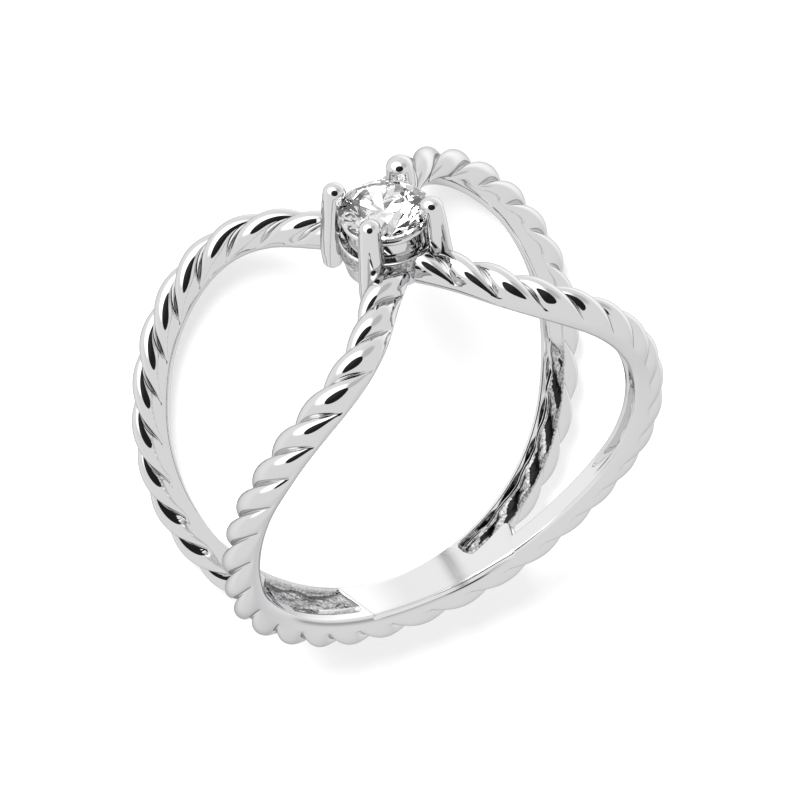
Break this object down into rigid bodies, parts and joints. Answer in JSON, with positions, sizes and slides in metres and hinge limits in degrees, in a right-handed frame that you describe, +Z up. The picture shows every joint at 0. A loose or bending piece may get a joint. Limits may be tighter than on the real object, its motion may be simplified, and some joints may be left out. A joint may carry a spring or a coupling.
{
  "type": "ring",
  "caption": "Finger ring with a round faceted stone in a claw basket, on rope-twist bands that cross under the stone, run apart over the sides and join at the base.",
  "frame": {"origin": "middle of the footprint, on the surface that the ring lies on", "axes": "ring lying on its side: +Z up, +Y from the base of the ring to the stone, X across the ring"},
  "size_m": [0.0202, 0.022, 0.0124],
  "materials": {
    "silver": "polished white metal",
    "stone": "clear, faceted and polished"
  },
  "bodies": {
    "root": {"rope_band": "silver", "stone": "stone"}
  },
  "joints": []
}
